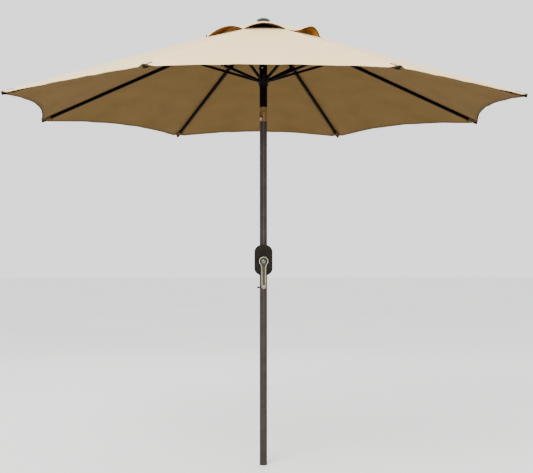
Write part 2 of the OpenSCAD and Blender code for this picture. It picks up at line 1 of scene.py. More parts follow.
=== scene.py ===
"""Looks of a vented market umbrella: cloth, hems, seams, castings and finishes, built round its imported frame.

Metres. Z is up, the crank faces -Y, and rib 1 is 22.5 degrees anticlockwise from +X.
"""

import json
import math

import bmesh
import bpy
from mathutils import Matrix, Vector


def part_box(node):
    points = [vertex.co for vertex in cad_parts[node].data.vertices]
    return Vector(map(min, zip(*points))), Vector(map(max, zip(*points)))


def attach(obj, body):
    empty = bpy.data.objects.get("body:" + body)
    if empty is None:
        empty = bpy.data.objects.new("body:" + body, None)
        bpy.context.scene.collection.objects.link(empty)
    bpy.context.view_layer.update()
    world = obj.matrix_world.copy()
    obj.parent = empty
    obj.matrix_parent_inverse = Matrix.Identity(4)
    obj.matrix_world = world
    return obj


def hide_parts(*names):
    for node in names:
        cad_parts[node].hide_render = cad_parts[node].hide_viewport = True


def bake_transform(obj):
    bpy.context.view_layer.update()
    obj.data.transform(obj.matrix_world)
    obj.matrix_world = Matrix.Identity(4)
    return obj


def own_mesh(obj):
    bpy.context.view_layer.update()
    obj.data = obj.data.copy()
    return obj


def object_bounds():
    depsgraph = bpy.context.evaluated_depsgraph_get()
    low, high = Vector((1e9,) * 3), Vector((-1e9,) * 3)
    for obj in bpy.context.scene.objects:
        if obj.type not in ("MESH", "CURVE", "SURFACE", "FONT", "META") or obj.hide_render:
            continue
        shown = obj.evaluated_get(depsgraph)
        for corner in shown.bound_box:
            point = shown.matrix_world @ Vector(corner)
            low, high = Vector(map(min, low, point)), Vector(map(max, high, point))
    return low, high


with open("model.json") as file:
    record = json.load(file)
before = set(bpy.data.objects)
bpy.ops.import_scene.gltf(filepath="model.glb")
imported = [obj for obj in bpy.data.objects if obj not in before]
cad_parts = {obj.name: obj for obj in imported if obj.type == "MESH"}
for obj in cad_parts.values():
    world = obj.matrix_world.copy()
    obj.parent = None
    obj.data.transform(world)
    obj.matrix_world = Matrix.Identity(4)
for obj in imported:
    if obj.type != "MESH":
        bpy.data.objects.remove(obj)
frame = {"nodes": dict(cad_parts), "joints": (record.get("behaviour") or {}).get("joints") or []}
cad_low, cad_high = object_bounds()

MM = 0.001
RIBS = 8
STEP = math.tau / RIBS
HALF = STEP / 2

# ---- measures from the frame ----

joints = {joint["name"]: joint for joint in frame["joints"]}
crown_pivot = Vector(joints["canopy_fold"]["pos_m"])
strut_pivot = Vector(joints["strut_1_hinge"]["pos_m"])
crown_z = crown_pivot.z
pivot_r = crown_pivot.xy.length
open_angle = math.atan2(crown_z - strut_pivot.z, strut_pivot.xy.length - pivot_r)
slope = math.tan(open_angle)
fold_angle = math.radians(-joints["canopy_fold"]["range_deg"][0])

cloth_low, cloth_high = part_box("canopy_1")
tip_r = cloth_high.x / math.cos(HALF)
tip_z = cloth_low.z
boss_top_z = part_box("crown")[1].z

# ---- measures of the cloth ----

scallop = 65 * MM            # how far a hem curves in between two tips
vent_hole_r = 215 * MM       # hole under the vent cap
vent_r = 272 * MM            # edge of the vent cap
vent_top_r = 60 * MM         # the cap's top is clamped by the finial out to here
vent_inner_r = 12 * MM       # hole in the cap for the finial's screw
vent_side_r = 44 * MM        # the cap reaches this much further at its two sides
cloth_t = 0.9 * MM
hem_w = 20 * MM              # a turned and stitched hem
vent_hem_w = 12 * MM         # the cap's narrower hem
hem_t = 2.6 * MM
hem_drop = 8 * MM            # a hem hangs this much below the plane of its panel
tip_half_w = 17 * MM         # half the width of a tip, where the hems end at the pocket
seam_w = 16 * MM             # a felled seam along each rib
panel_sag = 9 * MM           # a stretched panel dips this much between its ribs
fold_h = 0.9 * MM            # soft folds near the hems
STITCH = 3.5 * MM            # pitch of the sewing


# ---- small tools ----

def linear(colour):
    """A hex sRGB colour as the linear RGBA that a shader takes."""
    channels = [int(colour[i:i + 2], 16) / 255 for i in (1, 3, 5)]
    return [c / 12.92 if c <= 0.04045 else ((c + 0.055) / 1.055) ** 2.4 for c in channels] + [1.0]


def add(tree, kind, links=(), **settings):
    """Adds a node. A setting is a property, or in_NAME for a socket's value; a link is (from, to socket's name)."""
    node = tree.nodes.new("ShaderNode" + kind)
    for key, value in settings.items():
        if key.startswith("in_"):
            node.inputs[key[3:].replace("_", " ")].default_value = value
        else:
            setattr(node, key, value)
    for source, target in links:
        tree.links.new(source, node.inputs[target])
    return node


def new_material(name, colour, roughness, **settings):
    """A Principled material with its constants on the shader's own sockets. Returns (material, tree, shader)."""
    material = bpy.data.materials.new(name)
    material.use_nodes = True
    tree = material.node_tree
    shader = tree.nodes["Principled BSDF"]
    shader.inputs["Base Color"].default_value = linear(colour)
    shader.inputs["Roughness"].default_value = roughness
    for key, value in settings.items():
        shader.inputs[key.replace("_", " ")].default_value = value
    material.diffuse_color = linear(colour)
    return material, tree, shader


def cloudy(tree, shader, light, dark, size, place, low=0.35, high=0.65):
    """Drives the base colour between two shades by soft noise whose blotches are about size across."""
    noise = add(tree, "TexNoise", [(place, "Vector")], in_Scale=1 / size, in_Detail=3.0)
    ramp = add(tree, "ValToRGB", [(noise.outputs["Fac"], "Fac")])
    for stop, position, colour in zip(ramp.color_ramp.elements, (low, high), (dark, light)):
        stop.position = position
        stop.color = linear(colour)
    tree.links.new(ramp.outputs["Color"], shader.inputs["Base Color"])


def bumped(tree, shader, height, strength, distance, last=None):
    """Adds a bump from a height socket, on top of an earlier bump if there is one."""
    links = [(height, "Height")] + ([(last.outputs["Normal"], "Normal")] if last else [])
    bump = add(tree, "Bump", links, in_Strength=strength, in_Distance=distance)
    tree.links.new(bump.outputs["Normal"], shader.inputs["Normal"])
    return bump


def object_place(tree):
    return add(tree, "TexCoord").outputs["Object"]


def uv_place(tree):
    return add(tree, "TexCoord").outputs["UV"]


# ---- finishes ----

def powder_coat(name, light, dark, roughness, grain, coat=0.0, shine=0.15):
    """Powder-coated steel tube: baked paint with a fine orange-peel skin that blurs its reflections."""
    material, tree, shader = new_material(name, light, roughness, Metallic=0.1, Specular_IOR_Level=shine,
                                          Coat_Weight=coat, Coat_Roughness=0.25)
    place = object_place(tree)
    cloudy(tree, shader, light, dark, 40 * MM, place)
    peel = add(tree, "TexNoise", [(place, "Vector")], in_Scale=1 / grain, in_Detail=2.0)
    bumped(tree, shader, peel.outputs["Fac"], 0.25, 0.15 * MM)
    scuffs = add(tree, "TexNoise", [(place, "Vector")], in_Scale=1 / (9 * MM), in_Detail=5.0)
    spread = add(tree, "MapRange", [(scuffs.outputs["Fac"], "Value")], in_From_Min=0.35, in_From_Max=0.7,
                 in_To_Min=roughness - 0.06, in_To_Max=roughness + 0.1)
    tree.links.new(spread.outputs["Result"], shader.inputs["Roughness"])
    return material


def moulded_plastic(name, light, dark, roughness, grain, depth):
    """Injection-moulded plastic with a spark-eroded grain."""
    material, tree, shader = new_material(name, light, roughness, IOR=1.5, Specular_IOR_Level=0.15)
    place = object_place(tree)
    cloudy(tree, shader, light, dark, 14 * MM, place)
    texture = add(tree, "TexVoronoi", [(place, "Vector")], in_Scale=1 / grain, feature="SMOOTH_F1")
    bumped(tree, shader, texture.outputs["Distance"], 0.5, depth)
    return material


def cast_metal(name, light, dark, roughness, metallic=0.8, grain=2.2 * MM):
    """Die-cast metal under a satin lacquer: soft bumps from the mould and worn, brighter patches."""
    material, tree, shader = new_material(name, light, roughness, Metallic=metallic)
    place = object_place(tree)
    cloudy(tree, shader, light, dark, 8 * MM, place)
    skin = add(tree, "TexNoise", [(place, "Vector")], in_Scale=1 / grain, in_Detail=4.0)
    bumped(tree, shader, skin.outputs["Fac"], 0.2, 0.2 * MM)
    return material


def plated_steel(name, light, dark):
    """Zinc-plated steel, turned: bright, with a faint blue cast and fine rings."""
    material, tree, shader = new_material(name, light, 0.3, Metallic=1.0)
    place = object_place(tree)
    cloudy(tree, shader, light, dark, 3 * MM, place)
    rings = add(tree, "TexNoise", [(place, "Vector")], in_Scale=1 / (0.8 * MM), in_Detail=2.0)
    bumped(tree, shader, rings.outputs["Fac"], 0.12, 0.05 * MM)
    return material


def woven_cloth(name, light, dark, roughness, sheen, stitches=False, shine=0.5):
    """Plain-woven polyester. Threads are 0.35 mm apart on the real cloth, and 1.6 mm here so that they show."""
    material, tree, shader = new_material(name, light, roughness, Sheen_Weight=sheen, Sheen_Roughness=0.5,
                                          Specular_IOR_Level=shine)
    place = uv_place(tree)
    cloudy(tree, shader, light, dark, 160 * MM, place, 0.3, 0.7)
    thread = 1.6 * MM
    split = add(tree, "SeparateXYZ", [(place, "Vector")])
    waves = []
    for axis in ("X", "Y"):
        turn = add(tree, "Math", [(split.outputs[axis], 0)], operation="MULTIPLY")
        turn.inputs[1].default_value = math.tau / thread
        waves.append(add(tree, "Math", [(turn.outputs[0], 0)], operation="SINE"))
    weave = add(tree, "Math", [(waves[0].outputs[0], 0), (waves[1].outputs[0], 1)], operation="MULTIPLY")
    bump = bumped(tree, shader, weave.outputs[0], 0.3, 0.12 * MM)
    slubs = add(tree, "Mapping", [(place, "Vector")], in_Scale=(1 / (4 * MM), 1 / (120 * MM), 1.0))
    streaks = add(tree, "TexNoise", [(slubs.outputs[0], "Vector")], in_Scale=1.0, in_Detail=2.0)
    bump = bumped(tree, shader, streaks.outputs["Fac"], 0.15, 0.2 * MM, bump)
    if stitches:
        add_stitches(tree, shader, split, bump, light)
    return material


def add_stitches(tree, shader, split, bump, thread_colour):
    """Two rows of lock stitch, from UV: X runs along the strip and Y from 0 to 1 across it."""
    dash = add(tree, "Math", [(split.outputs["X"], 0)], operation="MULTIPLY")
    dash.inputs[1].default_value = math.tau / STITCH
    dash = add(tree, "Math", [(dash.outputs[0], 0)], operation="SINE")
    dash = add(tree, "MapRange", [(dash.outputs[0], "Value")], in_From_Min=-0.6, in_From_Max=-0.2)
    rows = add(tree, "Math", [(split.outputs["Y"], 0)], operation="SUBTRACT")
    rows.inputs[1].default_value = 0.5
    rows = add(tree, "Math", [(rows.outputs[0], 0)], operation="ABSOLUTE")
    rows = add(tree, "Math", [(rows.outputs[0], 0)], operation="SUBTRACT")
    rows.inputs[1].default_value = 0.3
    rows = add(tree, "Math", [(rows.outputs[0], 0)], operation="ABSOLUTE")
    rows = add(tree, "MapRange", [(rows.outputs[0], "Value")], in_From_Min=0.06, in_From_Max=0.03)
    stitch = add(tree, "Math", [(dash.outputs[0], 0), (rows.outputs[0], 1)], operation="MULTIPLY")
    bumped(tree, shader, stitch.outputs[0], 0.8, 0.5 * MM, bump)


def braided_cord(name, light, dark):
    """Braided polyester cord: crossing strands, slightly furry."""
    material, tree, shader = new_material(name, light, 0.85, Sheen_Weight=0.3)
    place = object_place(tree)
    cloudy(tree, shader, light, dark, 2 * MM, place)
    strands = add(tree, "TexWave", [(place, "Vector")], in_Scale=1 / (6 * MM), in_Distortion=2.0,
                  bands_direction="DIAGONAL")
    bumped(tree, shader, strands.outputs["Fac"], 0.5, 0.3 * MM)
    return material


cloth_top = woven_cloth("polyester_cloth_dyed_sand", "#ECD098", "#E6C98E", 0.88, 0.1, shine=0.3)
# The underside is the same sand polyester, painted dark brown as the shade under the canopy.
cloth_under_painted_shade = woven_cloth("polyester_cloth_underside_painted_shade", "#5E4A2A", "#574426", 0.9, 0.0, shine=0.05)
hem_top = woven_cloth("polyester_hem_turned", "#F2D9AC", "#ECD2A2", 0.85, 0.1, stitches=True, shine=0.3)
# The hem's underside is a darker brown copy of the cloth: painted shade.
hem_under_painted_shade = woven_cloth("polyester_hem_underside_painted_shade", "#56442A", "#503E26", 0.9, 0.0, stitches=True, shine=0.05)
# The vent cap's underside is the same cloth, painted orange-brown as the shade under the cap.
vent_under_painted_shade = woven_cloth("polyester_vent_underside_painted_shade", "#7E5420", "#73491A", 0.9, 0.0, shine=0.05)
# The tip pockets are the same cloth, painted dark brown as the shade under the canopy.
pocket_cloth_painted_shade = woven_cloth("polyester_tip_pocket_painted_shade", "#4E3F22", "#46381E", 0.9, 0.0, shine=0.05)
binding = woven_cloth("polyester_binding_tape_dark", "#261C07", "#201706", 0.9, 0.0, shine=0.05)
bronze_coat = powder_coat("powder_coat_bronze", "#2F2721", "#261F1A", 0.38, 0.8 * MM, 0.15)
# Near-black: the frame under the canopy is bronze, painted black as the shade that falls on it.
black_coat_painted_shade = powder_coat("powder_coat_black_painted_shade", "#060303", "#040202", 0.7, 0.8 * MM, shine=0.04)
black_nylon = moulded_plastic("nylon_black_moulded", "#060404", "#040303", 0.6, 1.2 * MM, 0.08 * MM)
housing_plastic = moulded_plastic("abs_black_grained", "#1C170B", "#090703", 0.65, 2.6 * MM, 0.6 * MM)
plug_plastic = moulded_plastic("polythene_black", "#101010", "#0A0A0A", 0.6, 1.5 * MM, 0.1 * MM)
champagne = cast_metal("zinc_casting_champagne", "#C6B99E", "#A2967A", 0.33, 0.75)
# A darker copy of the champagne casting for the arm's flanks: painted shade.
flank_champagne_painted_shade = cast_metal("zinc_casting_champagne_flank_painted_shade", "#5E5642", "#4A4333", 0.5, 0.5)
# A still darker copy of the champagne casting for the groove in the arm: painted shade in the recess.
shaded_champagne = cast_metal("zinc_casting_champagne_recess_painted_shade", "#3C372B", "#29251C", 0.5, 0.6)
cap_zinc = plated_steel("steel_cap_blued", "#5E676E", "#454C52")
tilt_paint = cast_metal("aluminium_casting_tan_paint", "#64491F", "#583F1A", 0.42, 0.3)
bright_zinc = plated_steel("steel_zinc_plated", "#D2D4D6", "#B9BEC4")
dull_zinc = plated_steel("steel_zinc_dulled", "#6A6C70", "#54565A")
button_zinc = plated_steel("steel_button_satin", "#E4E0D6", "#CFCBC2")
knob_plastic = moulded_plastic("acetal_knob_ivory", "#918B80", "#867F73", 0.35, 1.5 * MM, 0.05 * MM)
acetal = moulded_plastic("acetal_natural", "#CFCABB", "#C4BEAE", 0.4, 1.5 * MM, 0.05 * MM)
finial_plastic = moulded_plastic("abs_grey_satin", "#3E434A", "#2A2E34", 0.3, 1.5 * MM, 0.08 * MM)
cord_braid = braided_cord("polyester_braid_black", "#141312", "#0B0A0A")

NODE_FINISH = {
    "foot_plug": plug_plastic, "lower_pole": bronze_coat, "middle_pole": bronze_coat,
    "joint_screw": black_nylon, "housing_front": housing_plastic, "housing_back": housing_plastic,
    "housing_screws": bright_zinc, "axle_bushes": acetal,
    "clutch_spring": bright_zinc, "crank_drum": bright_zinc, "knob_rivet": dull_zinc,
    "tilt_base": tilt_paint, "tilt_head": tilt_paint, "tilt_pin": dull_zinc, "tilt_button": button_zinc,
    "tilt_spring": bright_zinc, "upper_pole": black_coat_painted_shade, "pulley_axle": bright_zinc, "pulley": black_nylon,
    "lift_cord_lower": cord_braid, "lift_cord_upper": cord_braid, "crown": black_nylon,
    "crown_pins": bright_zinc, "runner": black_nylon, "runner_pins": bright_zinc, "crank_knob": knob_plastic,
}
for k in range(1, RIBS + 1):
    NODE_FINISH[f"rib_{k}"] = black_coat_painted_shade
    NODE_FINISH[f"strut_{k}"] = black_coat_painted_shade
    NODE_FINISH[f"rib_fittings_{k}"] = black_nylon
for name, finish in NODE_FINISH.items():
    mesh = frame["nodes"][name].data
    mesh.materials.clear()
    mesh.materials.append(finish)


# ---- making pieces ----

def make_object(bm, name, materials, sharp=35):
    """Turns a bmesh into an object with smooth faces and sharp corners."""
    bmesh.ops.recalc_face_normals(bm, faces=bm.faces[:])
    for face in bm.faces:
        face.smooth = True
    for edge in bm.edges:
        if len(edge.link_faces) == 2 and edge.calc_face_angle(0) > math.radians(sharp):
            edge.smooth = False
    mesh = bpy.data.meshes.new(name)
    bm.to_mesh(mesh)
    bm.free()
    for material in materials:
        mesh.materials.append(material)
    piece = bpy.data.objects.new(name, mesh)
    bpy.context.scene.collection.objects.link(piece)
    return piece


def finish_piece(bm, name, body, materials, replaced=(), sharp=35):
    """Makes an object that rides on a body, and may stand for a node."""
    piece = make_object(bm, name, materials, sharp)
    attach(piece, body)
    if replaced:
        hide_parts(*replaced)
    return piece


def grid(bm, columns, rows, place, uv, index=lambda s, t: 0):
    """Adds a grid whose corners run over 0 to 1 both ways, put in place by a function, with its own UVs."""
    made = bmesh.ops.create_grid(bm, x_segments=columns, y_segments=rows, size=0.5)
    layer = bm.loops.layers.uv.verify()
    share = {vert: (vert.co.x + 0.5, vert.co.y + 0.5) for vert in made["verts"]}
    faces = {face for vert in made["verts"] for face in vert.link_faces}
    for face in faces:
        middle = face.calc_center_median()
        face.material_index = index(middle.x + 0.5, middle.y + 0.5)
        for loop in face.loops:
            loop[layer].uv = uv(*share[loop.vert])
    for vert in made["verts"]:
        vert.co = place(*share[vert])
    return list(faces)


def hem_section(t, width, thick):
    """Cross-section of a turned hem as (how far in, how far up): out along the underside, round, and back."""
    way = 2 * t - 1
    turned = min(1.0, abs(way) / 0.12)
    closing = min(1.0, (1 - abs(way)) / 0.1)
    inwards = width * max(0.0, abs(way) * 1.12 - 0.12)
    return inwards, thick / 2 * math.copysign(math.sin(turned * math.pi / 2), way) * closing


def hem_side(s, t):
    """Which cloth shows on a hem: the darker brown with painted shade below, a dark binding round the fold, and the
    dyed side above.
    """
    return 3 if t < 0.28 else 4 if t < 0.54 else 2


def close_ends(bm):
    """Merges the long edges of a hem and caps its two ends."""
    bmesh.ops.remove_doubles(bm, verts=bm.verts[:], dist=0.02 * MM)
    bmesh.ops.holes_fill(bm, edges=[edge for edge in bm.edges if edge.is_boundary], sides=0)


def thicken(bm, faces, thickness, under_index):
    """Gives a sheet its thickness. The side that faces down gets its own material: on the cloth, a darker brown copy
    that paints the shade under the canopy.
    """
    bmesh.ops.solidify(bm, geom=faces, thickness=thickness)
    bmesh.ops.recalc_face_normals(bm, faces=bm.faces[:])
    for face in bm.faces:
        if face.normal.z < -0.25:
            face.material_index = under_index


# ---- cloth ----

def ridge_z(r):
    """Height of the cloth over a rib."""
    return tip_z + (tip_r - r) * slope + cloth_t


def nearness(a):
    """1 over a rib and 0 midway between two."""
    return math.tan(HALF - abs(a)) / math.tan(HALF)


def hem_r(a):
    """Rib radius at the hem: blunt where the pocket is, then curving in between two tips."""
    blunt = 1 - tip_half_w / (tip_r * math.tan(HALF))
    near = min(1.0, nearness(a) / blunt)
    return tip_r - scallop * (1 - near ** 2) / math.cos(HALF)


def flat_r(r, a):
    """Distance from the axis of a flat panel's point, for the rib point at its height."""
    return r * math.cos(HALF) / math.cos(HALF - abs(a))


def smooth(x):
    """0 below 0, 1 above 1, and a soft step between."""
    x = min(1.0, max(0.0, x))
    return x * x * (3 - 2 * x)


def tension_folds(r, azimuth, a):
    """Long soft folds that run up from the hem, and fade out over the ribs and towards the crown."""
    fade = smooth((r / tip_r - 0.7) / 0.3) * (1 - nearness(a) ** 4)
    return fade * fold_h * (math.sin(34 * azimuth + 2 * math.sin(3 * azimuth)) + 0.5 * math.sin(62 * azimuth))


def panel_point(r, a, turn, lift=0.0):
    """A point of the stretched main cloth, at angle a from the rib that points along turn."""
    across = 1 - nearness(a) ** 2
    along = min(1.0, max(0.0, (r - vent_hole_r) / (tip_r - vent_hole_r)))
    sag = panel_sag * across * math.sin(math.pi * along ** 0.8)
    off_rib = r * math.tan(HALF) * (1 - nearness(a))
    droop = hem_drop * smooth(1 - (hem_r(a) - r) / (90 * MM)) * smooth((off_rib - 6 * MM) / (40 * MM))
    z = ridge_z(r) - sag - droop + tension_folds(r, turn + a, a) + lift
    rho = flat_r(r, a)
    return Vector((rho * math.cos(turn + a), rho * math.sin(turn + a), z))


def main_half(k, side):
    """Half of a panel, from rib k to midway to the next rib, with its turned hem."""
    turn = HALF + STEP * (k - 1)

    def edge(s):
        return hem_r(side * s * HALF)

    def place(s, t, lift=0.0):
        r = vent_hole_r + (edge(s) - vent_hole_r) * t
        return panel_point(r, side * s * HALF, turn, lift)

    def uv(s, t):
        r = vent_hole_r + (edge(s) - vent_hole_r) * t
        return (r * math.sin(s * HALF), r)

    def hem_place(s, t):
        inwards, lift = hem_section(t, hem_w, hem_t)
        return panel_point(edge(s) - inwards, side * s * HALF, turn, lift - cloth_t / 2)

    bm = bmesh.new()
    thicken(bm, grid(bm, 30, 64, place, uv), cloth_t, 1)
    hem = bmesh.new()
    length = tip_r * math.sin(HALF)
    grid(hem, 60, 24, hem_place, lambda s, t: (s * length, abs(2 * t - 1)), hem_side)
    close_ends(hem)
    join(bm, hem)
    return finish_piece(bm, f"canopy_panel_{k}{'ab'[side < 0]}", f"rib_{k}",
                        [cloth_top, cloth_under_painted_shade, hem_top, hem_under_painted_shade, binding], [f"canopy_{k}"] if side > 0 else ())


def join(bm, other):
    """Adds another bmesh to the first."""
    scratch = bpy.data.meshes.new("scratch")
    other.to_mesh(scratch)
    other.free()
    bm.from_mesh(scratch)
    bpy.data.meshes.remove(scratch)


# How the cap bulges over some panels: how high, how far the crest leans anticlockwise, and how late it rises
VENT_BULGE = {180: (34 * MM, 0.0, 0.8), 225: (28 * MM, 0.0, 2.0), 270: (31 * MM, 0.0, 2.0), 315: (38 * MM, 2.5, 2.0)}


def vent_edge(azimuth):
    """The cap's edge stands a little further out at its two sides."""
    return vent_r + vent_side_r * math.cos(azimuth) ** 4


def vent_point(r, a, turn, lift=0.0):
    """A point of the vent cap, which bulges up between the ribs."""
    middle = round(math.degrees(turn + math.copysign(HALF, a))) % 360
    height, lean, late = VENT_BULGE.get(middle, (26 * MM, 0.0, 2.0))
    across = -math.copysign(nearness(a), a)
    crest = lean / (lean + 2)
    profile = (1 - across) * (1 + across) ** (1 + lean) / ((1 - crest) * (1 + crest) ** (1 + lean))
    share = (r - vent_inner_r) / (vent_r - vent_inner_r)
    start_z = boss_top_z + 2.6 * MM
    edge_z = ridge_z(vent_r) + 1.6 * MM
    rho = flat_r(r, a)
    return Vector((rho * math.cos(turn + a), rho * math.sin(turn + a),
                   start_z + (edge_z - start_z) * share + height * share ** late * profile + lift))


def vent_half(k, side):
    """Half of a sector of the vent cap, outside the part that the finial clamps, with a narrow hem."""
    turn = HALF + STEP * (k - 1)

    def place(s, t):
        a = side * s * HALF
        return vent_point(vent_top_r + (vent_edge(turn + a) - vent_top_r) * t, a, turn)

    def uv(s, t):
        r = vent_top_r + (vent_r - vent_top_r) * t
        return (r * math.sin(s * HALF), r)

    def hem_place(s, t):
        inwards, lift = hem_section(t, vent_hem_w, hem_t)
        a = side * s * HALF
        return vent_point(vent_edge(turn + a) - inwards, a, turn, lift - cloth_t / 2)

    bm = bmesh.new()
    thicken(bm, grid(bm, 16, 20, place, uv), cloth_t, 1)
    hem = bmesh.new()
    length = vent_r * math.sin(HALF)
    grid(hem, 16, 24, hem_place, lambda s, t: (s * length, abs(2 * t - 1)), hem_side)
    close_ends(hem)
    join(bm, hem)
    return finish_piece(bm, f"vent_cap_{k}{'ab'[side < 0]}", f"rib_{k}",
                        [cloth_top, vent_under_painted_shade, hem_top, vent_under_painted_shade, binding])


def vent_top(k):
    """The middle of the vent cap over one rib: it is clamped at the crown and bends to the rib."""
    turn = HALF + STEP * (k - 1)

    def place(s, t):
        return vent_point(vent_inner_r + (vent_top_r - vent_inner_r) * t, (2 * s - 1) * HALF, turn)

    bm = bmesh.new()
    thicken(bm, grid(bm, 16, 8, place, lambda s, t: (s * 40 * MM, t * 48 * MM)), cloth_t, 1)
    piece = make_object(bm, f"vent_top_{k}", [cloth_top, vent_under_painted_shade])
    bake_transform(piece)
    return piece


def seam(k):
    """The felled seam over a rib: a strip that bends over the ridge, stitched along both sides."""
    turn = HALF + STEP * (k - 1)

    def place(s, t):
        r = vent_hole_r + (tip_r - 1 * MM - vent_hole_r) * t
        off = (s - 0.5) * seam_w
        a = math.atan2(off, r)
        base = panel_point(r, a, turn)
        return base + Vector((0, 0, 0.7 * MM - 0.5 * MM * abs(2 * s - 1)))

    bm = bmesh.new()
    faces = grid(bm, 6, 90, place, lambda s, t: (t * (tip_r - vent_hole_r), s))
    thicken(bm, faces, 0.8 * MM, 0)
    return finish_piece(bm, f"rib_seam_{k}", f"rib_{k}", [hem_top])


def tip_pocket(k):
    """The pocket sewn under the cloth that the rib's end sits in: full at its mouth and thin at the tip."""
    turn = HALF + STEP * (k - 1)
    length, mouth_w, mouth_h, end_w, end_h = 60 * MM, 26 * MM, 23 * MM, 29 * MM, 7 * MM
    bm = bmesh.new()
    bmesh.ops.create_cube(bm, size=1.0)
    for vert in bm.verts:
        outer = vert.co.x > 0
        top = vert.co.z > 0
        vert.co.y *= end_w if outer else mouth_w
        vert.co.z = 0.5 * MM if top else -(end_h if outer else mouth_h)
        vert.co.x = (0.5 if outer else -0.5) * length
    bmesh.ops.bevel(bm, geom=bm.edges[:], offset=3.5 * MM, offset_type="OFFSET", segments=3, profile=0.5,
                    affect="EDGES", material=-1, clamp_overlap=True)
    middle_r = tip_r - 2 * MM - length / 2 * math.cos(open_angle)
    where = Vector((middle_r, 0, ridge_z(middle_r) - cloth_t))
    bmesh.ops.rotate(bm, verts=bm.verts[:], cent=(0, 0, 0), matrix=Matrix.Rotation(open_angle, 3, "Y"))
    bmesh.ops.translate(bm, verts=bm.verts[:], vec=where)
    bmesh.ops.rotate(bm, verts=bm.verts[:], cent=(0, 0, 0), matrix=Matrix.Rotation(turn, 3, "Z"))
    return finish_piece(bm, f"tip_pocket_{k}", f"rib_{k}", [pocket_cloth_painted_shade], sharp=60)


def keep_that_meets(point, anchor, axis):
    """How much of its width a half keeps so that, with the rib down, its edge meets the next rib's half.

    The point is on the edge midway between two ribs, on the side of +Y from a rib that points along +X.
    """
    down = Matrix.Rotation(fold_angle, 3, "Y")

    def past_middle(keep):
        gathered = point - axis * (1 - keep) * (point - anchor).dot(axis)
        at = down @ (gathered - Vector((pivot_r, 0, crown_z))) + Vector((pivot_r, 0, crown_z))
        return at.y - math.tan(HALF) * at.x
    none, whole = past_middle(0), past_middle(1)
    return min(0.9, max(0.02, -none / (whole - none)))


def fold_with_rib(piece, side, edge):
    """Works out the share of its width that a half panel would keep when its rib folds down, then gives the piece a
    mesh of its own; nothing gathers the panel.
    """
    lean = math.radians(24)
    up = Vector((math.sin(open_angle), 0, math.cos(open_angle)))
    axis = Vector((0, 1, 0)) * math.cos(lean) - up * math.sin(lean)
    anchor = Vector((tip_r, 0, ridge_z(tip_r)))
    keep = keep_that_meets(edge, anchor, axis)
    axis.y *= side
    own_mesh(piece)


for k in range(1, RIBS + 1):
    turn = HALF + STEP * (k - 1)
    seam(k)
    tip_pocket(k)
    vent_top(k)
    for side in (1, -1):
        main = main_half(k, side)
        fold_with_rib(main, side, panel_point(hem_r(HALF), HALF, 0))
        cap = vent_half(k, side)
        edge = Matrix.Rotation(-turn, 3, "Z") @ vent_point(vent_edge(turn + side * HALF), side * HALF, turn)
        edge.y *= side
        fold_with_rib(cap, side, edge)


# ---- hard pieces ----

def spun(bm, profile, steps=64):
    """Spins a profile of (radius, height) points round Z into a closed solid."""
    verts = [bm.verts.new((r, 0, z)) for r, z in profile]
    edges = [bm.edges.new(pair) for pair in zip(verts, verts[1:])]
    bmesh.ops.spin(bm, geom=verts + edges, cent=(0, 0, 0), axis=(0, 0, 1), dvec=(0, 0, 0),
                   angle=math.tau, steps=steps, use_merge=True, use_duplicate=False)
    bmesh.ops.remove_doubles(bm, verts=bm.verts[:], dist=0.01 * MM)


def finial():
    """Domed cap with a rolled rim and a raised centre, on top of the vent cap."""
    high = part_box("finial")[1]
    radius = high.x
    base = boss_top_z + 3.2 * MM
    top = high.z
    height = top - base
    bm = bmesh.new()
    profile = [(0, base), (radius - 2.5 * MM, base), (radius - 0.6 * MM, base + 0.6 * MM), (radius, base + 2 * MM),
               (radius - 0.4 * MM, base + 3.4 * MM), (radius - 2.2 * MM, base + 4.4 * MM)]
    inner = radius - 4.5 * MM
    for i in range(9):
        share = i / 8 * math.pi / 2
        profile.append((inner * math.cos(share * 0.83), base + 4.6 * MM + (height - 7 * MM) * math.sin(share)))
    button = inner * math.cos(math.pi / 2 * 0.83) - 0.5 * MM
    profile += [(button, top - 1.4 * MM), (button - 1 * MM, top - 0.3 * MM), (button / 2, top), (0, top)]
    spun(bm, profile, 72)
    return finish_piece(bm, "finial_dome", "upper_pole", [finial_plastic], ["finial"], sharp=50)


def teardrop(hub, neck_w, end_r, reach, low, thick):
    """A plate round a hub at the origin that tapers to a round end below it. Returns it with its front face."""
    bm = bmesh.new()
    points = []
    for i in range(25):
        turn = math.radians(-50 + 280 * i / 24)
        points.append((hub * math.cos(turn), hub * math.sin(turn)))
    points.append((-neck_w, -hub * 1.3))
    for i in range(13):
        turn = math.radians(186 + 168 * i / 12)
        points.append((end_r * math.cos(turn), -reach + end_r * math.sin(turn)))
    points.append((neck_w, -hub * 1.3))
    face = bm.faces.new([bm.verts.new((x, z, low)) for x, z in points])
    made = bmesh.ops.extrude_face_region(bm, geom=[face])
    lifted = [part for part in made["geom"] if isinstance(part, bmesh.types.BMVert)]
    bmesh.ops.translate(bm, verts=lifted, vec=(0, 0, thick))
    bmesh.ops.recalc_face_normals(bm, faces=bm.faces[:])
    return bm, max(bm.faces, key=lambda part: part.calc_center_median().z)


def soften(bm, size, least):
    """Rounds every edge that turns more than some angle."""
    corners = [edge for edge in bm.edges if edge.is_manifold and edge.calc_face_angle(0) > math.radians(least)]
    bmesh.ops.bevel(bm, geom=corners, offset=size, offset_type="OFFSET", segments=2, profile=0.5,
                    affect="EDGES", material=-1, clamp_overlap=True)


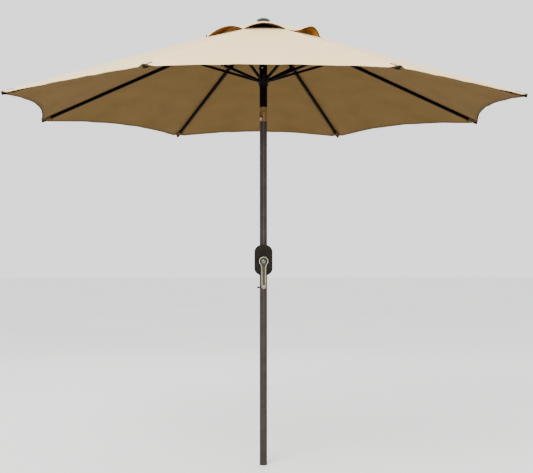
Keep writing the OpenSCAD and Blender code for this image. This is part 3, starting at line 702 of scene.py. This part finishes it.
def crank_handle():
    """Cast crank: a bell with a raised ring and a centre cap, and a tapering arm with two raised edges."""
    low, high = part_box("crank_handle")
    axle_z = joints["crank_turn"]["pos_m"][2]
    reach = axle_z - joints["knob_spin"]["pos_m"][2]
    hub_r, cap_r = 23 * MM, 13 * MM
    neck_w, end_r = 15 * MM, 11 * MM             # half widths of the arm
    edge_neck_w, edge_end_r = 10.5 * MM, 9 * MM  # half widths over the two raised edges
    edge_w, groove_depth = 2.4 * MM, 3.8 * MM
    bell_l = high.y - low.y - 9 * MM
    bm = bmesh.new()
    spun(bm, [(0, 0), (hub_r - 3 * MM, 0), (hub_r - 0.6 * MM, 1 * MM), (hub_r, 3 * MM),
              (hub_r - 0.5 * MM, bell_l - 2 * MM), (hub_r - 2 * MM, bell_l + 1 * MM), (0, bell_l + 1 * MM)])
    flange, _ = teardrop(hub_r - 2 * MM, neck_w, end_r, reach, bell_l, 2.5 * MM)
    soften(flange, 0.8 * MM, 50)
    # The flange gets the darker champagne copy: painted shade on the arm's outer flanks.
    for part in flange.faces:
        part.material_index = 3
    join(bm, flange)
    rim, front = teardrop(hub_r, edge_neck_w, edge_end_r, reach, bell_l + 2.3 * MM, 4.5 * MM)
    bmesh.ops.inset_region(rim, faces=[front], thickness=edge_w, depth=0.0)
    bmesh.ops.inset_region(rim, faces=[front], thickness=0.6 * MM, depth=-groove_depth)
    # The groove between the raised edges gets the darker champagne copy: painted shade in the recess.
    front.material_index = 1
    soften(rim, 0.7 * MM, 50)
    join(bm, rim)

    cap = bmesh.new()
    spun(cap, [(0, bell_l + 2 * MM), (cap_r, bell_l + 2 * MM), (cap_r, bell_l + 5 * MM),
               (cap_r - 0.8 * MM, bell_l + 6.2 * MM), (cap_r - 3 * MM, bell_l + 7.6 * MM),
               (4 * MM, bell_l + 8.6 * MM), (0, bell_l + 8.8 * MM)], 48)
    for part in cap.faces:
        part.material_index = 2
    join(bm, cap)
    bmesh.ops.rotate(bm, verts=bm.verts[:], cent=(0, 0, 0), matrix=Matrix.Rotation(math.pi / 2, 3, "X"))
    bmesh.ops.translate(bm, verts=bm.verts[:], vec=(0, high.y, axle_z))
    return finish_piece(bm, "crank_casting", "crank",
                        [champagne, shaded_champagne, cap_zinc, flank_champagne_painted_shade], ["crank_handle"], sharp=40)


finial()
crank_handle()


# ---- stage ----

def stage():
    """A plain pale floor and soft studio light from all round."""
    bm = bmesh.new()
    bmesh.ops.create_grid(bm, x_segments=1, y_segments=1, size=40)
    bmesh.ops.translate(bm, verts=bm.verts[:], vec=(0, 0, cad_low.z - 0.2 * MM))
    mesh = bpy.data.meshes.new("floor")
    bm.to_mesh(mesh)
    bm.free()
    floor = bpy.data.objects.new("floor", mesh)
    bpy.context.scene.collection.objects.link(floor)
    paint, tree, shader = new_material("floor_matt_white", "#F2F1EF", 0.9)
    cloudy(tree, shader, "#F4F3F1", "#F0EFED", 2.0, object_place(tree))
    mesh.materials.append(paint)

    world = bpy.data.worlds.new("studio")
    world.use_nodes = True
    soft = world.node_tree.nodes["Background"].inputs
    soft["Color"].default_value = (1.0, 1.0, 1.0, 1)
    soft["Strength"].default_value = 1.7
    bpy.context.scene.world = world

    for name, place, aim, size, power in (
            ("key", (-2.0, -5.0, 5.0), (0, 0, 1.9), 3.0, 560),
            ("fill", (0.9, -5.6, 1.5), (0, 0, 1.2), 1.4, 80),
            ("back", (0.5, 4.5, 4.6), (0, 0, 2.0), 3.0, 110)):
        light = bpy.data.lights.new(name, "AREA")
        light.shape = "DISK"
        light.size = size
        light.energy = power
        lamp = bpy.data.objects.new(name, light)
        lamp.location = place
        lamp.rotation_euler = (Vector(aim) - Vector(place)).to_track_quat("-Z", "Y").to_euler()
        bpy.context.scene.collection.objects.link(lamp)


def camera():
    """A long lens a little above waist height, almost square to the crank."""
    turn = math.radians(1.61)
    distance, height = 5.254, 1.066
    aside = math.radians(0.171)
    data = bpy.data.cameras.new("camera")
    data.lens = 70.08
    data.sensor_width = 36
    eye = bpy.data.objects.new("camera", data)
    eye.location = (-distance * math.sin(turn), -distance * math.cos(turn), height)
    pitch = math.radians(0.9)
    eye.rotation_euler = (math.pi / 2 + pitch, 0, -(turn + aside))
    bpy.context.scene.collection.objects.link(eye)
    bpy.context.scene.camera = eye


stage()
camera()
